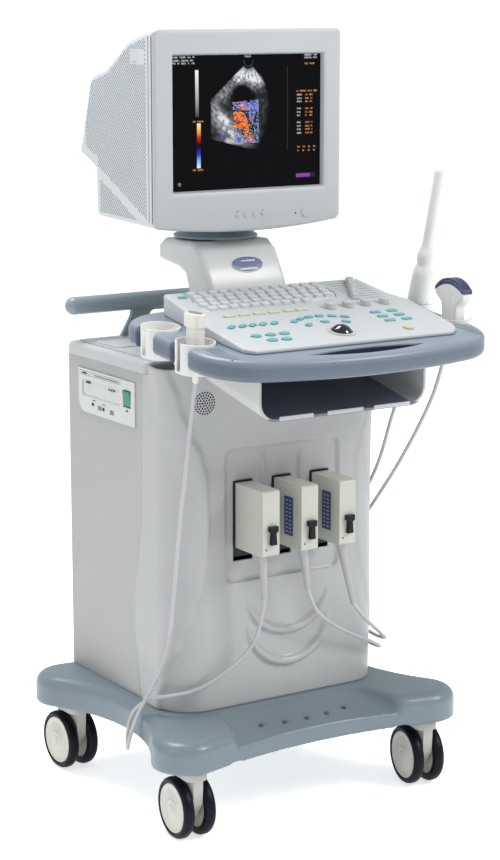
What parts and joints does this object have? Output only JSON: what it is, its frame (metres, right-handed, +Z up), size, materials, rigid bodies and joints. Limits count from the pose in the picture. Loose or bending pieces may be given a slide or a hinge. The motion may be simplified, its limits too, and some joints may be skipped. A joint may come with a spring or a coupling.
{
  "type": "ultrasound machine",
  "caption": "Mobile diagnostic ultrasound cart: wheeled base, cabinet with probe ports, tilted control console, swivelling CRT monitor and hanging probes with cables.",
  "frame": {"origin": "Centre of the bounding box in plan, on the floor under the four casters (cables not counted).", "axes": "+Z up; the operator stands on the -Y side and faces +Y; +X is to the right of the operator."},
  "size_m": [0.574, 0.678, 1.26],
  "materials": {
    "blue_grey_plastic": "fine textured",
    "chassis_steel": "satin",
    "cabinet_plastic": "fine textured",
    "dark_plastic": "satin",
    "green_plastic": "satin",
    "connector_plastic": "satin",
    "black_plastic": "gloss",
    "panel_plastic": "fine textured",
    "bin_plastic": "satin",
    "white_plastic": "satin",
    "key_plastic": "satin",
    "teal_plastic": "satin",
    "beige_plastic": "satin",
    "slider_plastic": "satin",
    "screen_glass": "gloss",
    "button_plastic": "satin",
    "cable_rubber": "satin",
    "caster_plastic": "satin",
    "wheel_tyre": "matte"
  },
  "bodies": {
    "machine": {"base_cover": "blue_grey_plastic", "chassis_frame": "chassis_steel", "cabinet_front_cover": "cabinet_plastic", "cabinet_side_covers": "cabinet_plastic", "cabinet_rear_cover": "cabinet_plastic", "cabinet_top_cover": "cabinet_plastic", "internal_electronics": "chassis_steel", "media_panel": "dark_plastic", "probe_port_sockets": "dark_plastic", "probe_connectors": "connector_plastic", "console_table": "blue_grey_plastic", "control_panel": "panel_plastic", "storage_bin": "bin_plastic", "rear_handle": "blue_grey_plastic", "probe_cups": "white_plastic", "probe_rings": "white_plastic", "monitor_column": "panel_plastic", "cable_linear": "cable_rubber", "cable_endocavity": "cable_rubber", "cable_convex": "cable_rubber"},
    "caster_front_left": {"caster_fork_front_left": "caster_plastic"},
    "wheels_front_left": {"caster_wheels_front_left": "wheel_tyre"},
    "caster_front_right": {"caster_fork_front_right": "caster_plastic"},
    "wheels_front_right": {"caster_wheels_front_right": "wheel_tyre"},
    "caster_rear_left": {"caster_fork_rear_left": "caster_plastic"},
    "wheels_rear_left": {"caster_wheels_rear_left": "wheel_tyre"},
    "caster_rear_right": {"caster_fork_rear_right": "caster_plastic"},
    "wheels_rear_right": {"caster_wheels_rear_right": "wheel_tyre"},
    "disc_tray_body": {"disc_tray": "dark_plastic"},
    "power_rocker_body": {"power_rocker": "green_plastic"},
    "connector_lever_1_body": {"connector_lever_1": "black_plastic"},
    "connector_lever_2_body": {"connector_lever_2": "black_plastic"},
    "connector_lever_3_body": {"connector_lever_3": "black_plastic"},
    "trackball_body": {"trackball": "black_plastic"},
    "knob_1_body": {"knob_1": "beige_plastic"},
    "knob_2_body": {"knob_2": "beige_plastic"},
    "knob_3_body": {"knob_3": "beige_plastic"},
    "knob_4_body": {"knob_4": "beige_plastic"},
    "tgc_slider_1_body": {"tgc_slider_1": "slider_plastic"},
    "tgc_slider_2_body": {"tgc_slider_2": "slider_plastic"},
    "tgc_slider_3_body": {"tgc_slider_3": "slider_plastic"},
    "tgc_slider_4_body": {"tgc_slider_4": "slider_plastic"},
    "tgc_slider_5_body": {"tgc_slider_5": "slider_plastic"},
    "tgc_slider_6_body": {"tgc_slider_6": "slider_plastic"},
    "tgc_slider_7_body": {"tgc_slider_7": "slider_plastic"},
    "tgc_slider_8_body": {"tgc_slider_8": "slider_plastic"},
    "keyboard_body": {"keyboard_keys": "key_plastic"},
    "soft_key_body": {"soft_keys": "key_plastic"},
    "function_key_body": {"function_keys": "teal_plastic"},
    "freeze_key_body": {"freeze_key": "beige_plastic"},
    "swivel": {"swivel_dish": "blue_grey_plastic"},
    "monitor": {"monitor_bezel": "panel_plastic", "monitor_shell": "panel_plastic", "picture_tube": "screen_glass"},
    "monitor_button_body": {"monitor_buttons": "panel_plastic"},
    "monitor_power_body": {"monitor_power_button": "button_plastic"},
    "endocavity_body": {"endocavity_probe": "white_plastic"},
    "convex_body": {"convex_probe": "white_plastic"},
    "linear_body": {"linear_probe": "white_plastic"}
  },
  "joints": [
    {"name": "caster_swivel_front_left", "type": "hinge", "parent": "machine", "child": "caster_front_left", "pos_m": [-0.227, -0.158, 0.11], "axis": [0, 0, 1], "continuous": true},
    {"name": "wheel_spin_front_left", "type": "hinge", "parent": "caster_front_left", "child": "wheels_front_left", "pos_m": [-0.22595, -0.13803, 0.05], "axis": [0.9986, -0.0523, 0], "continuous": true},
    {"name": "caster_swivel_front_right", "type": "hinge", "parent": "machine", "child": "caster_front_right", "pos_m": [0.227, -0.158, 0.11], "axis": [0, 0, 1], "continuous": true},
    {"name": "wheel_spin_front_right", "type": "hinge", "parent": "caster_front_right", "child": "wheels_front_right", "pos_m": [0.23013, -0.13825, 0.05], "axis": [0.9877, -0.1564, 0], "continuous": true},
    {"name": "caster_swivel_rear_left", "type": "hinge", "parent": "machine", "child": "caster_rear_left", "pos_m": [-0.227, 0.23, 0.11], "axis": [0, 0, 1], "continuous": true},
    {"name": "wheel_spin_rear_left", "type": "hinge", "parent": "caster_rear_left", "child": "wheels_rear_left", "pos_m": [-0.2277, 0.24999, 0.05], "axis": [0.9994, 0.0349, 0], "continuous": true},
    {"name": "caster_swivel_rear_right", "type": "hinge", "parent": "machine", "child": "caster_rear_right", "pos_m": [0.227, 0.23, 0.11], "axis": [0, 0, 1], "continuous": true},
    {"name": "wheel_spin_rear_right", "type": "hinge", "parent": "caster_rear_right", "child": "wheels_rear_right", "pos_m": [0.227, 0.25, 0.05], "axis": [1, 0, 0], "continuous": true},
    {"name": "disc_tray_slide", "type": "slide", "parent": "machine", "child": "disc_tray_body", "axis": [-1, 0, 0], "range_m": [0, 0.115]},
    {"name": "power_rocker_tilt", "type": "hinge", "parent": "machine", "child": "power_rocker_body", "pos_m": [-0.1995, 0.0815, 0.6695], "axis": [0, 1, 0], "range_deg": [0, 12]},
    {"name": "connector_lever_1_turn", "type": "hinge", "parent": "machine", "child": "connector_lever_1_body", "pos_m": [-0.072, -0.15, 0.483], "axis": [0, -1, 0], "range_deg": [0, 90]},
    {"name": "connector_lever_2_turn", "type": "hinge", "parent": "machine", "child": "connector_lever_2_body", "pos_m": [0.002, -0.15, 0.483], "axis": [0, -1, 0], "range_deg": [0, 90]},
    {"name": "connector_lever_3_turn", "type": "hinge", "parent": "machine", "child": "connector_lever_3_body", "pos_m": [0.076, -0.15, 0.483], "axis": [0, -1, 0], "range_deg": [0, 90]},
    {"name": "trackball_roll", "type": "hinge", "parent": "machine", "child": "trackball_body", "pos_m": [0, -0.23165, 0.79721], "axis": [1, 0, 0], "continuous": true},
    {"name": "knob_1_turn", "type": "hinge", "parent": "machine", "child": "knob_1_body", "pos_m": [0.049, -0.128, 0.82468], "axis": [0, -0.1925, 0.9813], "range_deg": [-150, 150]},
    {"name": "knob_2_turn", "type": "hinge", "parent": "machine", "child": "knob_2_body", "pos_m": [0.084, -0.128, 0.82468], "axis": [0, -0.1925, 0.9813], "range_deg": [-150, 150]},
    {"name": "knob_3_turn", "type": "hinge", "parent": "machine", "child": "knob_3_body", "pos_m": [0.119, -0.128, 0.82468], "axis": [0, -0.1925, 0.9813], "range_deg": [-150, 150]},
    {"name": "knob_4_turn", "type": "hinge", "parent": "machine", "child": "knob_4_body", "pos_m": [0.156, -0.128, 0.82468], "axis": [0, -0.1925, 0.9813], "range_deg": [-150, 150]},
    {"name": "tgc_slider_1_slide", "type": "slide", "parent": "machine", "child": "tgc_slider_1_body", "axis": [1, 0, 0], "range_m": [-0.0432, 0.0152]},
    {"name": "tgc_slider_2_slide", "type": "slide", "parent": "machine", "child": "tgc_slider_2_body", "axis": [1, 0, 0], "range_m": [-0.0372, 0.0212]},
    {"name": "tgc_slider_3_slide", "type": "slide", "parent": "machine", "child": "tgc_slider_3_body", "axis": [1, 0, 0], "range_m": [-0.0312, 0.0272]},
    {"name": "tgc_slider_4_slide", "type": "slide", "parent": "machine", "child": "tgc_slider_4_body", "axis": [1, 0, 0], "range_m": [-0.0252, 0.0332]},
    {"name": "tgc_slider_5_slide", "type": "slide", "parent": "machine", "child": "tgc_slider_5_body", "axis": [1, 0, 0], "range_m": [-0.0192, 0.0392]},
    {"name": "tgc_slider_6_slide", "type": "slide", "parent": "machine", "child": "tgc_slider_6_body", "axis": [1, 0, 0], "range_m": [-0.0132, 0.0452]},
    {"name": "tgc_slider_7_slide", "type": "slide", "parent": "machine", "child": "tgc_slider_7_body", "axis": [1, 0, 0], "range_m": [-0.0072, 0.0512]},
    {"name": "tgc_slider_8_slide", "type": "slide", "parent": "machine", "child": "tgc_slider_8_body", "axis": [1, 0, 0], "range_m": [-0.0012, 0.0572]},
    {"name": "keyboard_press", "type": "slide", "parent": "machine", "child": "keyboard_body", "axis": [0, 0.1925, -0.9813], "range_m": [0, 0.002], "stiffness_N_per_m": 900, "springref_m": -0.002},
    {"name": "soft_key_press", "type": "slide", "parent": "machine", "child": "soft_key_body", "axis": [0, 0.1925, -0.9813], "range_m": [0, 0.002], "stiffness_N_per_m": 300, "springref_m": -0.002},
    {"name": "function_key_press", "type": "slide", "parent": "machine", "child": "function_key_body", "axis": [0, 0.1925, -0.9813], "range_m": [0, 0.002], "stiffness_N_per_m": 300, "springref_m": -0.002},
    {"name": "freeze_key_press", "type": "slide", "parent": "machine", "child": "freeze_key_body", "axis": [0, 0.1925, -0.9813], "range_m": [0, 0.002], "stiffness_N_per_m": 300, "springref_m": -0.002},
    {"name": "monitor_swivel", "type": "hinge", "parent": "machine", "child": "swivel", "pos_m": [0, 0.135, 0.916], "axis": [0, 0, 1], "range_deg": [-60, 60]},
    {"name": "monitor_tilt", "type": "hinge", "parent": "swivel", "child": "monitor", "pos_m": [0, 0.135, 0.941], "axis": [1, 0, 0], "range_deg": [-12, 5]},
    {"name": "monitor_button_press", "type": "slide", "parent": "monitor", "child": "monitor_button_body", "axis": [0, 1, 0], "range_m": [0, 0.001], "stiffness_N_per_m": 300, "springref_m": -0.001},
    {"name": "monitor_power_press", "type": "slide", "parent": "monitor", "child": "monitor_power_body", "axis": [0, 1, 0], "range_m": [0, 0.001], "stiffness_N_per_m": 300, "springref_m": -0.001},
    {"name": "endocavity_probe_lift", "type": "slide", "parent": "machine", "child": "endocavity_body", "axis": [0.0835, -0.1462, 0.9857], "range_m": [0, 0.08]},
    {"name": "convex_probe_lift", "type": "slide", "parent": "machine", "child": "convex_body", "axis": [0, 0, 1], "range_m": [0, 0.08]},
    {"name": "linear_probe_lift", "type": "slide", "parent": "machine", "child": "linear_body", "axis": [0, 0, 1], "range_m": [0, 0.08]}
  ]
}
